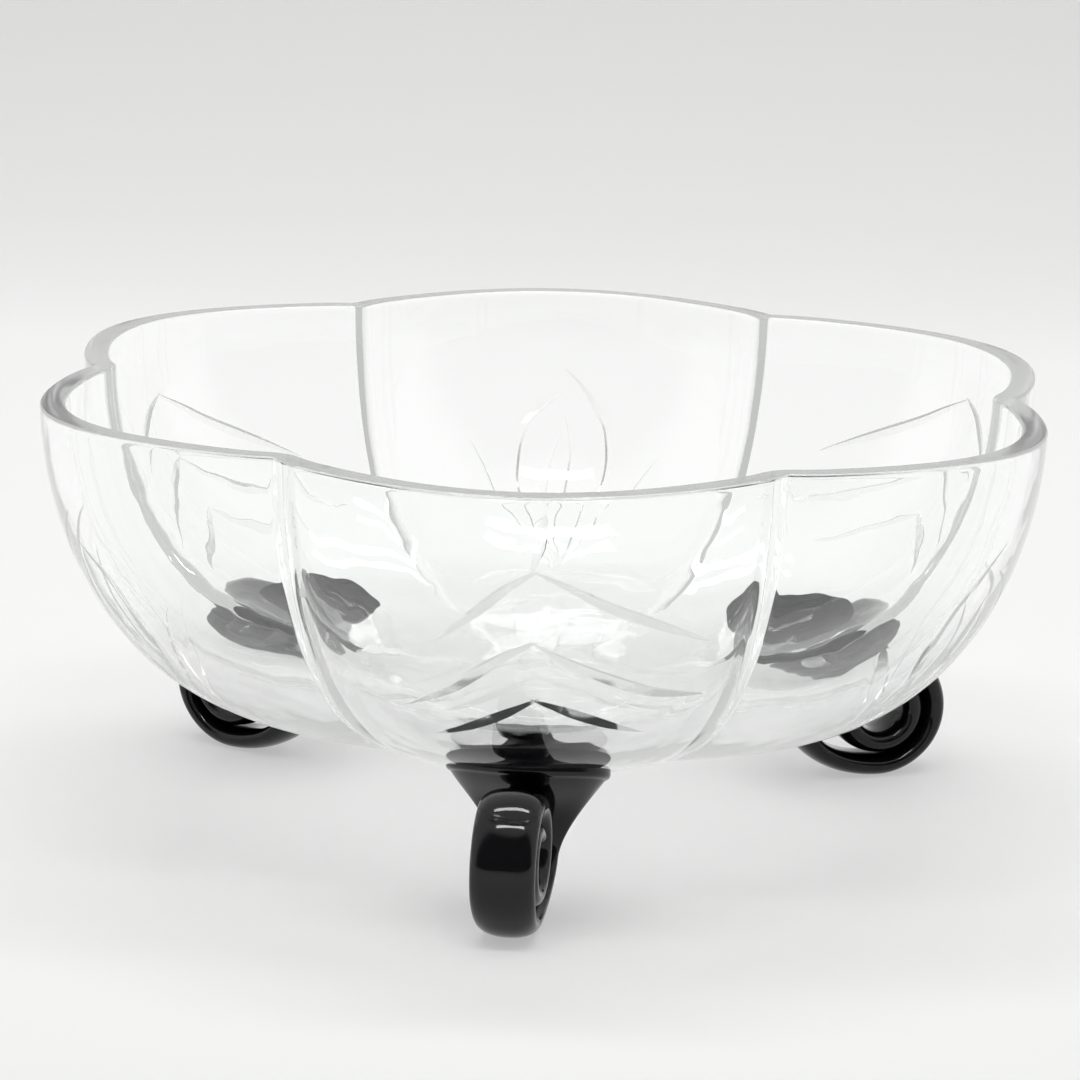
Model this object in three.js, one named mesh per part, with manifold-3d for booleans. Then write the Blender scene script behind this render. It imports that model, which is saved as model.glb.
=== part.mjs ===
// Footed glass bowl: a six-lobed bowl of clear glass on three scrolled feet of black glass.
// Millimetres and degrees, +Z up. The origin lies on the table, under the bowl's axis.
// The front lobe and the front foot point along -Y.

import * as THREE from "three";
import { mergeVertices } from "three/addons/utils/BufferGeometryUtils.js";
import Module from "manifold-3d";

// Bowl, driving dimensions
const lobeReach = 115; // axis to the outside of a lobe at the rim
const notchDepth = 14.3; // how far a notch comes in from the lobes' reach
const notchFillet = 0.9; // radius at the bottom of a notch, outside
const ridgeRadius = 10; // radius of the soft ridge that a notch makes inside
const bowlDepth = 75.9; // rim to the underside, at the axis
const baseHeight = 22; // table to the underside, at the axis
const wallThickness = 5.4;
const baseThickness = 7;
const rimRound = 0.8; // polished edges of the flat rim
const sideFullness = 3.7; // exponent: the higher, the longer the wall stays upright
const baseFullness = 1.85; // exponent: the higher, the flatter the underside
const lobeCount = 6;

// A lobe's outline falls from its middle to the notch by these shares of notchDepth,
// for the second, fourth and eighth power of the way to the notch. Together they are 1.
const lobeFall = { second: 1.59, fourth: -0.91, eighth: 0.32 };

// The lobes were drawn out by hand, so each notch stands a little off its even place.
const notchDrift = [-1.6, 1.5, 1.0, -0.5, -0.7, 0.4];

// Feet, driving dimensions
const padReach = 0.587; // share of the lobes' reach at which the middle of a pad sits
const coilOffset = 18.5; // middle of the pad out to the scroll's centre
const neckOffset = 1.5; // middle of the pad in to the middle of the upright neck
const padHalfWidth = 17.2; // across the lobe
const padHalfLength = 13; // along the lobe
const padEdge = 1.4; // height of the pad's rounded edge
const padInset = 1; // the edge starts this much inside the pad's outline
const padSlope = 26; // angle at which the neck's sides run out under the pad
const seatGap = 0.3; // between a pad and the bowl
const strapHalfWidth = 6.7;
const strapCrown = 3.4; // strap's outer half, which is domed
const strapBack = 1.4; // strap's inner half, which is flatter
const strapSquareness = 2.1; // exponent of the strap's section, where 2 gives an ellipse
const padSquareness = 2;
const eyeHalfWidth = 5.9; // the strap narrows to this at the eye
const coilRadius = 13.4; // scroll's centre to the strap's middle, where it stands
const coilDrawIn = 0.4; // share of coilRadius by which the scroll draws in with each turn
const coilTurns = 1.62; // from where it stands to the strap's end
const neckHeight = 15; // table to where the trail has turned upright
const flareHeight = 11; // table to where the strap starts to open into the pad
const standFlat = 0.4; // depth of the flat that the foot stands on
const scrollTurn = -6; // the scrolls are turned a little off the lobes' middles
const footAzimuths = { foot_front: 270, foot_rear_right: 30, foot_rear_left: 150 };

// How finely the curves are cut into facets
const lobeSteps = 12;
const filletSteps = 2; // on each side of a notch
const wallSteps = 14;
const edgeSteps = 2;
const strapSides = 12;
const coilStepDegrees = 15;
const trailSteps = 7;
const neckSteps = 7;

const clearGlass = new THREE.MeshStandardMaterial({
  color: 0xe9eeec, roughness: 0.04, metalness: 0, transparent: true, opacity: 0.35,
});
const blackGlass = new THREE.MeshStandardMaterial({ color: 0x0b0b0d, roughness: 0.06, metalness: 0 });

const { degToRad, lerp } = THREE.MathUtils;
const wasm = await Module();
wasm.setup();

// Closed body through a row of rings with equal counts, ended by a point at each end
function loft(firstPole, rings, lastPole) {
  const count = rings[0].length;
  const points = [firstPole, ...rings.flat(), lastPole];
  const last = points.length - 1;
  const faces = [];
  const at = (ring, i) => 1 + ring * count + (i % count);
  for (let i = 0; i < count; i++) {
    faces.push(0, at(0, i + 1), at(0, i));
    for (let ring = 0; ring < rings.length - 1; ring++) {
      faces.push(at(ring, i), at(ring, i + 1), at(ring + 1, i + 1));
      faces.push(at(ring, i), at(ring + 1, i + 1), at(ring + 1, i));
    }
    faces.push(last, at(rings.length - 1, i), at(rings.length - 1, i + 1));
  }
  const geometry = new THREE.BufferGeometry().setFromPoints(points);
  geometry.setIndex(faces);
  geometry.computeVertexNormals();
  return geometry;
}

function toSolid(geometry) {
  const bare = geometry.clone();
  bare.deleteAttribute("normal");
  bare.deleteAttribute("uv");
  const merged = mergeVertices(bare);
  return new wasm.Manifold(new wasm.Mesh({
    numProp: 3,
    vertProperties: new Float32Array(merged.attributes.position.array),
    triVerts: new Uint32Array(merged.index.array),
  }));
}

function toGeometry(solid) {
  const { vertProperties, triVerts } = solid.getMesh();
  const geometry = new THREE.BufferGeometry();
  geometry.setAttribute("position", new THREE.BufferAttribute(vertProperties, 3));
  geometry.setIndex(new THREE.BufferAttribute(triVerts, 1));
  geometry.computeVertexNormals();
  return geometry;
}

// Plan outline of the bowl at its rim

function notchAngle(index) {
  const turns = Math.floor(index / lobeCount);
  const step = 360 / lobeCount;
  return degToRad((index - turns * lobeCount) * step + notchDrift[index % lobeCount] + turns * 360);
}

// Point of a lobe's outline, where way runs from -1 at one notch to 1 at the next
function lobePoint(lobe, way) {
  const start = notchAngle(lobe);
  const end = notchAngle(lobe + 1);
  const angle = lerp(start, end, (way + 1) / 2);
  const fall = lobeFall.second * way ** 2 + lobeFall.fourth * way ** 4 + lobeFall.eighth * way ** 8;
  const radius = lobeReach - notchDepth * fall;
  return new THREE.Vector2(radius * Math.cos(angle), radius * Math.sin(angle));
}

function lobeNormal(lobe, way) {
  const reach = 0.001;
  const tangent = lobePoint(lobe, way + reach).sub(lobePoint(lobe, way - reach));
  return new THREE.Vector2(tangent.y, -tangent.x).normalize();
}

// Way at which a lobe gives over to the arc of its notch, whose centre lies outside the glass on the
// notch's own line, this reach off the lobe. side is -1 for a lobe's first notch and 1 for its second.
function filletStart(lobe, side, reach) {
  const angle = notchAngle(side < 0 ? lobe : lobe + 1);
  const across = new THREE.Vector2(-Math.sin(angle), Math.cos(angle));
  let near = 0.6;
  let far = 1;
  for (let pass = 0; pass < 30; pass++) {
    const way = (near + far) / 2;
    const centre = lobePoint(lobe, side * way).addScaledVector(lobeNormal(lobe, side * way), reach);
    if (side * centre.dot(across) < 0) near = way;
    else far = way;
  }
  return near;
}

// Outline as points with their outward normals: each lobe, then the arc to its neighbour
function bowlOutline(reach) {
  const outline = [];
  for (let lobe = 0; lobe < lobeCount; lobe++) {
    const first = -filletStart(lobe, -1, reach);
    const last = filletStart(lobe, 1, reach);
    for (let step = 0; step <= lobeSteps; step++) {
      const even = step / lobeSteps;
      const gathered = (1 - Math.cos(Math.PI * even)) / 2;
      const way = lerp(first, last, (even + gathered) / 2);
      outline.push({ point: lobePoint(lobe, way), normal: lobeNormal(lobe, way) });
    }
    const next = (lobe + 1) % lobeCount;
    const from = outline.at(-1);
    const nextWay = -filletStart(next, -1, reach);
    const to = { point: lobePoint(next, nextWay), normal: lobeNormal(next, nextWay) };
    outline.push(...filletPoints(from, to, reach));
  }
  return outline;
}

function filletPoints(from, to, reach) {
  const centre = from.point.clone().addScaledVector(from.normal, reach);
  centre.add(to.point).addScaledVector(to.normal, reach).multiplyScalar(0.5);
  const startAngle = from.normal.angle();
  const sweep = Math.atan2(from.normal.cross(to.normal), from.normal.dot(to.normal));
  const points = [];
  for (let step = 1; step < 2 * filletSteps; step++) {
    const angle = startAngle + (sweep * step) / (2 * filletSteps);
    const normal = new THREE.Vector2(Math.cos(angle), Math.sin(angle));
    points.push({ point: centre.clone().addScaledVector(normal, -reach), normal });
  }
  return points;
}

const outerOutline = bowlOutline(notchFillet);
const innerOutline = bowlOutline(ridgeRadius - wallThickness);

// Upright profile of the bowl: the share of the depth at which the wall has this share of its radius
function dropAt(share) {
  return (1 - share ** sideFullness) ** (1 / baseFullness);
}

function ringAt(outline, offset, share, height) {
  return outline.map(({ point, normal }) => {
    const place = point.clone().addScaledVector(normal, offset).multiplyScalar(share);
    return new THREE.Vector3(place.x, place.y, height);
  });
}

// Rings of one face of the wall, from beside the axis up to the rim's rounded edge
function wallRings(outline, offset, bottom, top) {
  const rings = [];
  for (let step = 1; step <= wallSteps; step++) {
    const share = Math.sin((Math.PI / 2) * (step / wallSteps));
    const height = top - (top - bottom) * dropAt(share);
    rings.push(ringAt(outline, offset, share, Math.min(height, top - rimRound)));
  }
  return rings;
}

const rimHeight = baseHeight + bowlDepth;

// Ring on the rim's rounded edge; at 0 degrees it lies on the wall and at 90 on the flat
function edgeRing(outline, wallOffset, inward, degrees) {
  const turn = degToRad(degrees);
  const offset = wallOffset - inward * rimRound * (1 - Math.cos(turn));
  return ringAt(outline, offset, 1, rimHeight - rimRound * (1 - Math.sin(turn)));
}

function makeBowl() {
  const floorHeight = baseHeight + baseThickness;
  const outer = wallRings(outerOutline, 0, baseHeight, rimHeight);
  const inner = wallRings(innerOutline, -wallThickness, floorHeight, rimHeight);
  const rim = [];
  for (let step = 1; step <= edgeSteps; step++) {
    rim.push(edgeRing(outerOutline, 0, 1, (90 * step) / edgeSteps));
  }
  for (let step = edgeSteps; step >= 1; step--) {
    rim.push(edgeRing(innerOutline, -wallThickness, -1, (90 * step) / edgeSteps));
  }
  const rings = [...outer, ...rim, ...inner.reverse()];
  const below = new THREE.Vector3(0, 0, baseHeight);
  const above = new THREE.Vector3(0, 0, floorHeight);
  const mesh = new THREE.Mesh(loft(below, rings, above), clearGlass);
  mesh.name = "bowl";
  return mesh;
}

// The bowl's outside as a solid without its hollow, grown by a gap, to cut the feet's seats
function bowlForm(gap) {
  const rings = wallRings(outerOutline, gap, baseHeight - gap, rimHeight);
  const below = new THREE.Vector3(0, 0, baseHeight - gap);
  const above = new THREE.Vector3(0, 0, rimHeight);
  return toSolid(loft(below, rings, above));
}

// Height of the underside along a lobe's middle
function undersideHeight(radius) {
  return rimHeight - bowlDepth * dropAt(radius / lobeReach);
}

// Radius of the rim's outline at this angle about the bowl's axis
function rimRadius(angle) {
  const turn = THREE.MathUtils.euclideanModulo(angle - notchAngle(0), 2 * Math.PI) + notchAngle(0);
  let lobe = lobeCount - 1;
  while (lobe > 0 && notchAngle(lobe) > turn) lobe--;
  const way = (2 * (turn - notchAngle(lobe))) / (notchAngle(lobe + 1) - notchAngle(lobe)) - 1;
  return lobePoint(lobe, way).length();
}

// Foot, in its own plane: x runs outward from the bowl's axis and y runs up

const padRadius = lobeReach * padReach;
const neckRadius = padRadius - neckOffset;
const coilCentre = new THREE.Vector2(padRadius + coilOffset, coilRadius + strapCrown - standFlat);

// Middle of the strap, where turn is 0 under the scroll's centre and grows outward and up
function scrollPoint(turn) {
  const radius = coilRadius * (1 - coilDrawIn * turn);
  const angle = 2 * Math.PI * turn;
  return new THREE.Vector2(Math.sin(angle), -Math.cos(angle)).multiplyScalar(radius).add(coilCentre);
}

function padFrame() {
  const reach = 0.5;
  const rise = undersideHeight(padRadius + reach) - undersideHeight(padRadius - reach);
  const along = new THREE.Vector2(2 * reach, rise).normalize();
  const seat = new THREE.Vector2(padRadius, undersideHeight(padRadius));
  return { seat, along, up: new THREE.Vector2(-along.y, along.x) };
}

// Trail: a quarter of an ellipse from under the scroll's centre, in and up to the neck
function trailCurve() {
  const start = scrollPoint(0);
  const width = start.x - neckRadius;
  const height = neckHeight - start.y;
  return new THREE.EllipseCurve(start.x, neckHeight, width, height, -Math.PI / 2, -Math.PI, true);
}

// Neck: one of the two curves it opens along, from the upright end of the trail to the pad's edge.
// side is -1 towards the bowl's axis and 1 towards the scroll.
function neckRail(side, startRadius) {
  const { seat, along, up } = padFrame();
  const start = new THREE.Vector2(startRadius, neckHeight);
  const end = seat.clone().addScaledVector(up, -padEdge);
  end.addScaledVector(along, side * (padHalfLength - padInset));
  const arrival = along.clone().multiplyScalar(side);
  arrival.rotateAround(new THREE.Vector2(), degToRad(side * padSlope));
  const pull = start.distanceTo(end) * 0.4;
  return new THREE.CubicBezierCurve(
    start,
    start.clone().add(new THREE.Vector2(0, pull)),
    end.clone().addScaledVector(arrival, -pull),
    end,
  );
}

// How far the bowl's underside rises, at a place in a foot's frame, over the pad's tangent plane
function undersideLift(point, azimuth) {
  const { seat, along } = padFrame();
  const share = Math.hypot(point.x, point.y) / rimRadius(degToRad(azimuth) + Math.atan2(point.y, point.x));
  const plane = seat.y + (along.y / along.x) * (point.x - seat.x);
  return undersideHeight(share * lobeReach) - plane;
}

// One station of the foot: where it is, which way the strap runs, and the section's half sizes.
// follow is 0 where the section is flat and 1 where it is bent to the bowl's underside.
function station(place, along, halfWidth, crown, back, squareness, follow) {
  return { place, along: along.clone().normalize(), halfWidth, crown, back, squareness, follow };
}

function scrollStations() {
  const stations = [];
  const steps = Math.round((coilTurns * 360) / coilStepDegrees);
  for (let step = 0; step <= steps; step++) {
    const turn = coilTurns * (1 - step / steps);
    const along = scrollPoint(turn - 0.001).sub(scrollPoint(turn + 0.001));
    const taper = THREE.MathUtils.smoothstep(turn, 0.6, coilTurns);
    const halfWidth = lerp(strapHalfWidth, eyeHalfWidth, taper);
    stations.push(station(scrollPoint(turn), along, halfWidth, strapCrown, strapBack, strapSquareness, 0));
  }
  return stations;
}

// From its flare height up the strap grows wider, to the pad's width
function openingStation(place, along, crown, back) {
  const { seat, up } = padFrame();
  const fullHeight = seat.y - padEdge * up.y;
  const flare = THREE.MathUtils.clamp((place.y - flareHeight) / (fullHeight - flareHeight), 0, 1);
  const halfWidth = lerp(strapHalfWidth, padHalfWidth - padInset, flare ** 1.5);
  return station(place, along, halfWidth, crown, back, lerp(strapSquareness, padSquareness, flare), flare);
}

function trailStations() {
  const trail = trailCurve();
  const stations = [];
  for (let step = 1; step <= trailSteps; step++) {
    const way = step / trailSteps;
    stations.push(openingStation(trail.getPoint(way), trail.getTangent(way), strapCrown, strapBack));
  }
  return stations;
}

function neckStations() {
  const axisRail = neckRail(-1, neckRadius - strapCrown);
  const coilRail = neckRail(1, neckRadius + strapBack);
  const stations = [];
  for (let step = 1; step <= neckSteps; step++) {
    const way = step / neckSteps;
    const near = axisRail.getPoint(way);
    const across = coilRail.getPoint(way).sub(near);
    const crown = across.length() * lerp(strapCrown / (strapCrown + strapBack), 0.5, way);
    const along = new THREE.Vector2(-across.y, across.x).normalize();
    const place = near.clone().addScaledVector(across.clone().normalize(), crown);
    stations.push(openingStation(place, along, crown, across.length() - crown));
  }
  return stations;
}

// The pad's edge is rounded, and its last ring lies inside the bowl, whose form then cuts the seat
function padStations() {
  const { seat, up } = padFrame();
  return [[0.65, 0.3], [0.3, 0], [-2, 0]].map(([below, inset]) => {
    const place = seat.clone().addScaledVector(up, -padEdge * below);
    const halfLength = padHalfLength - inset;
    return station(place, up, padHalfWidth - inset, halfLength, halfLength, padSquareness, 1);
  });
}

// Section of the strap: domed away from the scroll's centre and flatter towards it
function sectionRing({ place, along, halfWidth, crown, back, squareness }) {
  const away = new THREE.Vector2(-along.y, along.x);
  const ring = [];
  for (let side = 0; side < strapSides; side++) {
    const angle = (2 * Math.PI * side) / strapSides;
    const bend = (value) => Math.sign(value) * Math.abs(value) ** (2 / squareness);
    const across = halfWidth * bend(Math.cos(angle));
    const rise = bend(Math.sin(angle)) * (Math.sin(angle) > 0 ? crown : back);
    const point = place.clone().addScaledVector(away, rise);
    ring.push(new THREE.Vector3(point.x, across, point.y));
  }
  return ring;
}

// The strap's end is rounded over a few shrinking rings
function endStations(first) {
  const stations = [];
  for (const [ahead, share] of [[1.3, 0.45], [0.9, 0.8]]) {
    const place = first.place.clone().addScaledVector(first.along, -ahead);
    stations.push({ ...first, place, halfWidth: first.halfWidth * share,
      crown: first.crown * share, back: first.back * share });
  }
  return stations;
}

function footBlank(azimuth) {
  const scroll = scrollStations();
  const upward = [...trailStations(), ...neckStations(), ...padStations()];
  const stations = [...endStations(scroll[0]), ...scroll, ...upward];
  const middle = new THREE.Vector3(padRadius, 0, 0);
  const upright = new THREE.Vector3(0, 0, 1);
  const settle = (point, follow) => {
    point.sub(middle).applyAxisAngle(upright, degToRad(scrollTurn)).add(middle);
    point.z += follow * undersideLift(point, azimuth);
    return point;
  };
  const rings = stations.map((stop) => sectionRing(stop).map((point) => settle(point, stop.follow)));
  const pole = ({ place, follow }) => settle(new THREE.Vector3(place.x, 0, place.y), follow);
  return loft(pole(stations[0]), rings, pole(stations.at(-1)));
}

function tableBlock() {
  const size = 4 * lobeReach;
  return toSolid(new THREE.BoxGeometry(size, size, size).translate(0, 0, -size / 2));
}

function makeFoot(name, azimuth, seatCutter, table) {
  const turn = degToRad(azimuth);
  const blank = toSolid(footBlank(azimuth).rotateZ(turn));
  const seated = blank.subtract(seatCutter).subtract(table);
  const mesh = new THREE.Mesh(toGeometry(seated).rotateZ(-turn), blackGlass);
  mesh.name = name;
  mesh.rotation.z = turn;
  return mesh;
}

function makeFeet() {
  const seatCutter = bowlForm(seatGap);
  const table = tableBlock();
  const feet = new THREE.Group();
  for (const [name, azimuth] of Object.entries(footAzimuths)) {
    feet.add(makeFoot(name, azimuth, seatCutter, table));
  }
  return feet;
}

const footedBowl = new THREE.Group();
footedBowl.name = "footed_bowl";
footedBowl.add(makeBowl(), makeFeet());

export default footedBowl;
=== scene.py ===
"""Footed glass bowl: a lobed, mitre-cut bowl of clear glass on three scrolled feet of black glass."""

import math
from collections import namedtuple
from functools import partialmethod

import bpy
from bpy.props import FloatProperty, FloatVectorProperty, IntProperty, PointerProperty
from mathutils import Matrix, Vector
from mathutils.geometry import interpolate_bezier


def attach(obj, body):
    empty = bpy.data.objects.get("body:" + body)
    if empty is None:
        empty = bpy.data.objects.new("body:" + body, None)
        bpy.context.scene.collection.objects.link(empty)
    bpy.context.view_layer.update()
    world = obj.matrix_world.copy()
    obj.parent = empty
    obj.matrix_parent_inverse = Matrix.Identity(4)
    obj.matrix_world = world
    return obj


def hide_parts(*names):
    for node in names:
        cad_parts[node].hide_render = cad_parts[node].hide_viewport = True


bl_info = {
    "name": "Footed glass bowl",
    "version": (1, 0, 0),
    "blender": (4, 5, 0),
    "location": "View3D > Sidebar > Bowl",
    "description": "Makes a lobed bowl of cut glass on scrolled feet, and a pale studio for it",
    "category": "Add Mesh",
}

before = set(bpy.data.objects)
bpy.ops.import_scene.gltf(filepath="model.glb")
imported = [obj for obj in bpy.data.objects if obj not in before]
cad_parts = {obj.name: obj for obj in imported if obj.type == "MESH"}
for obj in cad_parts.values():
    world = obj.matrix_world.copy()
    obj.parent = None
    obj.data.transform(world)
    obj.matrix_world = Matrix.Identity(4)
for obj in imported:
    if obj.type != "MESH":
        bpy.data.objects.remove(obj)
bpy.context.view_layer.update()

LOBES = 6
FOOT_AZIMUTHS = {"foot_front": 270, "foot_rear_right": 30, "foot_rear_left": 150}
# Each notch stands a little off its even place, in degrees
NOTCH_DRIFT = (-1.6, 1.5, 1.0, -0.5, -0.7, 0.4)
# A lobe falls away from its reach by these shares of the notch's depth, times these powers of the way
LOBE_FALL = ((1.59, 2), (-0.91, 4), (0.32, 8))
GLASS_IOR = 1.52
# Halvings of the search for the place where a lobe gives over to a notch
HALVINGS = 30


def a_length(name, description, default):
    return FloatProperty(name=name, description=description, default=default, unit="LENGTH")


def an_angle(name, description, degrees):
    return FloatProperty(name=name, description=description, default=math.radians(degrees), unit="ROTATION")


def a_share(name, description, default):
    return FloatProperty(name=name, description=description, default=default)


def a_count(name, description, default):
    return IntProperty(name=name, description=description, default=default)


def a_color(name, description, default):
    return FloatVectorProperty(name=name, description=description, default=default, subtype="COLOR", size=3)


class BowlSizes(bpy.types.PropertyGroup):
    lobe_reach: a_length("Lobe reach", "Axis to the outside of a lobe at the rim", 0.115)
    notch_depth: a_length("Notch depth", "How far a notch comes in", 0.0143)
    notch_fillet: a_length("Notch fillet", "Radius at the bottom of a notch", 0.0009)
    ridge_radius: a_length("Ridge radius", "Radius of the ridge that a notch makes inside", 0.010)
    depth: a_length("Depth", "Rim to the underside at the axis", 0.0759)
    rim_height: a_length("Rim height", "Table to the rim", 0.0979)
    wall: a_length("Wall", "Thickness of the wall", 0.0054)
    base: a_length("Base", "Thickness at the axis", 0.007)
    rim_round: a_length("Rim rounding", "Radius of the rim's polished edges", 0.0008)
    side_fullness: a_share("Side fullness", "The higher, the longer the wall stays upright", 3.7)
    base_fullness: a_share("Base fullness", "The higher, the flatter the underside", 1.85)
    lobe_columns: a_count("Lobe columns", "Facets along each lobe", 52)
    notch_columns: a_count("Notch columns", "Facets round each notch", 18)
    wall_rows: a_count("Wall rows", "Facets up each face of the wall", 80)
    edge_rows: a_count("Edge rows", "Facets round each edge of the rim", 8)


class CutSizes(bpy.types.PropertyGroup):
    arm_breadth: a_length("Arm breadth", "Widest part of a chevron's arm", 0.0025)
    bud_breadth: a_length("Bud breadth", "Widest part of a bud's strokes", 0.0028)
    leaf_breadth: a_length("Leaf breadth", "Widest part of a side leaf", 0.0064)
    low_breadth: a_length("Low breadth", "Widest part of the lowest chevron's arms", 0.0028)
    arm_depth: a_share("Arm depth", "Depth of a chevron's arm as a share of its half breadth", 0.38)
    leaf_depth: a_share("Leaf depth", "Depth of a side leaf as a share of its half breadth", 0.12)
    bud_depth: a_share("Bud depth", "Depth of a bud's strokes as a share of their half breadth", 0.34)
    low_depth: a_share("Low depth", "Depth of the lowest chevron as a share of its half breadth", 0.42)
    arm_lean: a_share("Arm lean", "How far the wheel leans, where 1 brings the deepest line to the edge", 0.4)
    bud_lean: a_share("Bud lean", "How far the wheel leans for a bud", 0.5)
    low_lean: a_share("Low lean", "How far it leans for the lowest chevron", 0.7)
    leaf_lean: a_share("Leaf lean", "How far the wheel leans for a side leaf", 0.85)
    stations: a_count("Stations", "Facets along each stroke", 26)


class FootSizes(bpy.types.PropertyGroup):
    pad_radius: a_length("Pad radius", "Bowl's axis to the pad's middle", 0.067505)
    coil_offset: a_length("Coil offset", "Pad's middle out to the scroll's centre", 0.0185)
    neck_offset: a_length("Neck offset", "Pad's middle in to the upright neck", 0.0015)
    coil_radius: a_length("Coil radius", "Scroll's centre to the strap's middle", 0.0138)
    coil_draw_in: a_share("Coil draw-in", "Share of its radius that the scroll draws in with each turn", 0.4)
    coil_turns: a_share("Coil turns", "Turns of the scroll to its eye", 1.62)
    strap_half_width: a_length("Strap half width", "Half the strap's width", 0.0067)
    coil_back: a_length(
        "Coil back", "Thickness of the strap's inner half in the coil, where turn lies on turn", 0.0025)
    eye_half_width: a_length("Eye half width", "Half the strap's width at the eye", 0.0064)
    strap_crown: a_length("Strap crown", "Height of the strap's domed outer half", 0.0030)
    strap_back: a_length("Strap back", "Height of the strap's inner half", 0.0019)
    stand_half_width: a_length("Stand half width", "Half the strap's width where it stands", 0.0062)
    crown_squareness: a_share("Crown squareness", "Exponent of the strap's outer half; 2 is an ellipse", 2.2)
    back_squareness: a_share("Back squareness", "Exponent of the strap's inner half", 2.5)
    stand_flat: a_length("Stand flat", "Depth of the flat it stands on", 0.0004)
    neck_height: a_length("Neck height", "Table to the upright part", 0.015)
    flare_height: a_length("Flare height", "Table to where the strap widens", 0.011)
    pad_half_width: a_length("Pad half width", "Half the pad across the lobe", 0.0172)
    pad_half_length: a_length("Pad half length", "Half the pad along the lobe", 0.013)
    pad_edge: a_length("Pad edge", "Height of the pad's rounded edge", 0.0014)
    pad_inset: a_length("Pad inset", "The edge starts this far in", 0.001)
    pad_slope: an_angle("Pad slope", "Angle under the pad", 26)
    scroll_turn: an_angle("Scroll turn", "Scroll's turn off its lobe", -6)
    seat_sink: a_length("Seat sink", "How far the fused pad reaches into the bowl's skin", 0.0003)
    sides: a_count("Sides", "Facets round the strap", 48)


class Looks(bpy.types.PropertyGroup):
    clear_glass: a_color("Clear glass", "Colour of the bowl", (0.985, 0.995, 0.99))
    cut_glass: a_color("Cut glass", "Colour of the bowl where the wheel has dulled it", (0.89, 0.9, 0.895))
    black_glass: a_color("Black glass", "Colour of the feet", (0.004, 0.004, 0.005))
    paper: a_color("Paper", "Colour of the sweep in the lamps' light", (0.87, 0.87, 0.86))
    glow: a_share("Glow", "Share of the sweep's tone that is not lamp light", 0.5)


# Numbers in a node tree


class Term:
    """A number in a node tree; arithmetic on it adds the nodes that work it out."""

    def __init__(self, tree, socket):
        self.tree = tree
        self.socket = socket

    def math(self, operation, *others):
        node = self.tree.nodes.new("ShaderNodeMath")
        node.operation = operation
        for socket, value in zip(node.inputs, (self, *others)):
            if isinstance(value, Term):
                self.tree.links.new(value.socket, socket)
            else:
                socket.default_value = value
        return Term(self.tree, node.outputs[0])

    __add__ = partialmethod(math, "ADD")
    __sub__ = partialmethod(math, "SUBTRACT")
    __mul__ = partialmethod(math, "MULTIPLY")
    __truediv__ = partialmethod(math, "DIVIDE")
    __pow__ = partialmethod(math, "POWER")

    def from_one(self):
        return self * -1.0 + 1.0


def new_tree(name, inputs):
    """Geometry tree with a geometry input and output, and these numbers as named inputs."""
    tree = bpy.data.node_groups.new(name, "GeometryNodeTree")
    tree.is_modifier = True
    tree.interface.new_socket("Geometry", in_out="INPUT", socket_type="NodeSocketGeometry")
    tree.interface.new_socket("Geometry", in_out="OUTPUT", socket_type="NodeSocketGeometry")
    for label, kind in inputs:
        tree.interface.new_socket(label, in_out="INPUT", socket_type=kind)
    return tree


def set_input(modifier, label, value):
    """Sets a modifier's input by its socket's identifier."""
    for item in modifier.node_group.interface.items_tree:
        if item.item_type == "SOCKET" and item.in_out == "INPUT" and item.name == label:
            modifier[item.identifier] = value
            return
    raise ValueError("no input named " + label)


def add_node(tree, kind, links=(), **settings):
    """Adds a node with these settings; links pairs an input's name or number with a socket, term or value."""
    node = tree.nodes.new(kind)
    for key, value in settings.items():
        setattr(node, key, value)
    for key, value in dict(links).items():
        socket = node.inputs[key]
        if isinstance(value, Term):
            value = value.socket
        if isinstance(value, bpy.types.NodeSocket):
            tree.links.new(value, socket)
        else:
            socket.default_value = value
    return node


def made(tree, kind, links=(), **settings):
    """Adds a node and gives its first output."""
    return add_node(tree, kind, links, **settings).outputs[0]


def titled(name):
    return name.replace("_", " ").title()


def named(tree, label, kind="FLOAT"):
    """The named attribute, or the position."""
    if label == "position":
        return made(tree, "GeometryNodeInputPosition")
    node = add_node(tree, "GeometryNodeInputNamedAttribute", {"Name": label}, data_type=kind)
    return next(socket for socket in node.outputs if socket.enabled)


def sampled(tree, source, label, kind, index):
    """The named attribute of the source's point at this index."""
    node = add_node(
        tree, "GeometryNodeSampleIndex", {"Geometry": source, "Index": index}, data_type=kind, domain="POINT")
    value = next(socket for socket in node.inputs if socket.name == "Value" and socket.enabled)
    tree.links.new(named(tree, label, kind), value)
    return next(socket for socket in node.outputs if socket.enabled)


def scaled(tree, vector, factor):
    return made(tree, "ShaderNodeVectorMath", {0: vector, "Scale": factor}, operation="SCALE")


def summed(tree, first, *others):
    for other in others:
        first = made(tree, "ShaderNodeVectorMath", {0: first, 1: other}, operation="ADD")
    return first


def combined(tree, x=0.0, y=0.0, z=0.0):
    return made(tree, "ShaderNodeCombineXYZ", {"X": x, "Y": y, "Z": z})


def separated(tree, vector):
    """The three parts of a vector, as terms."""
    return [Term(tree, part) for part in add_node(tree, "ShaderNodeSeparateXYZ", {0: vector}).outputs]


def marked(tree, label):
    """Selection of the faces that carry this mark."""
    return Term(tree, named(tree, label)).math("GREATER_THAN", 0.5)


def mark(tree, mesh, label):
    """Marks every face of the mesh."""
    return made(
        tree, "GeometryNodeStoreNamedAttribute", {"Geometry": mesh, "Name": label, "Value": 1.0},
        data_type="FLOAT", domain="FACE")


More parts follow.
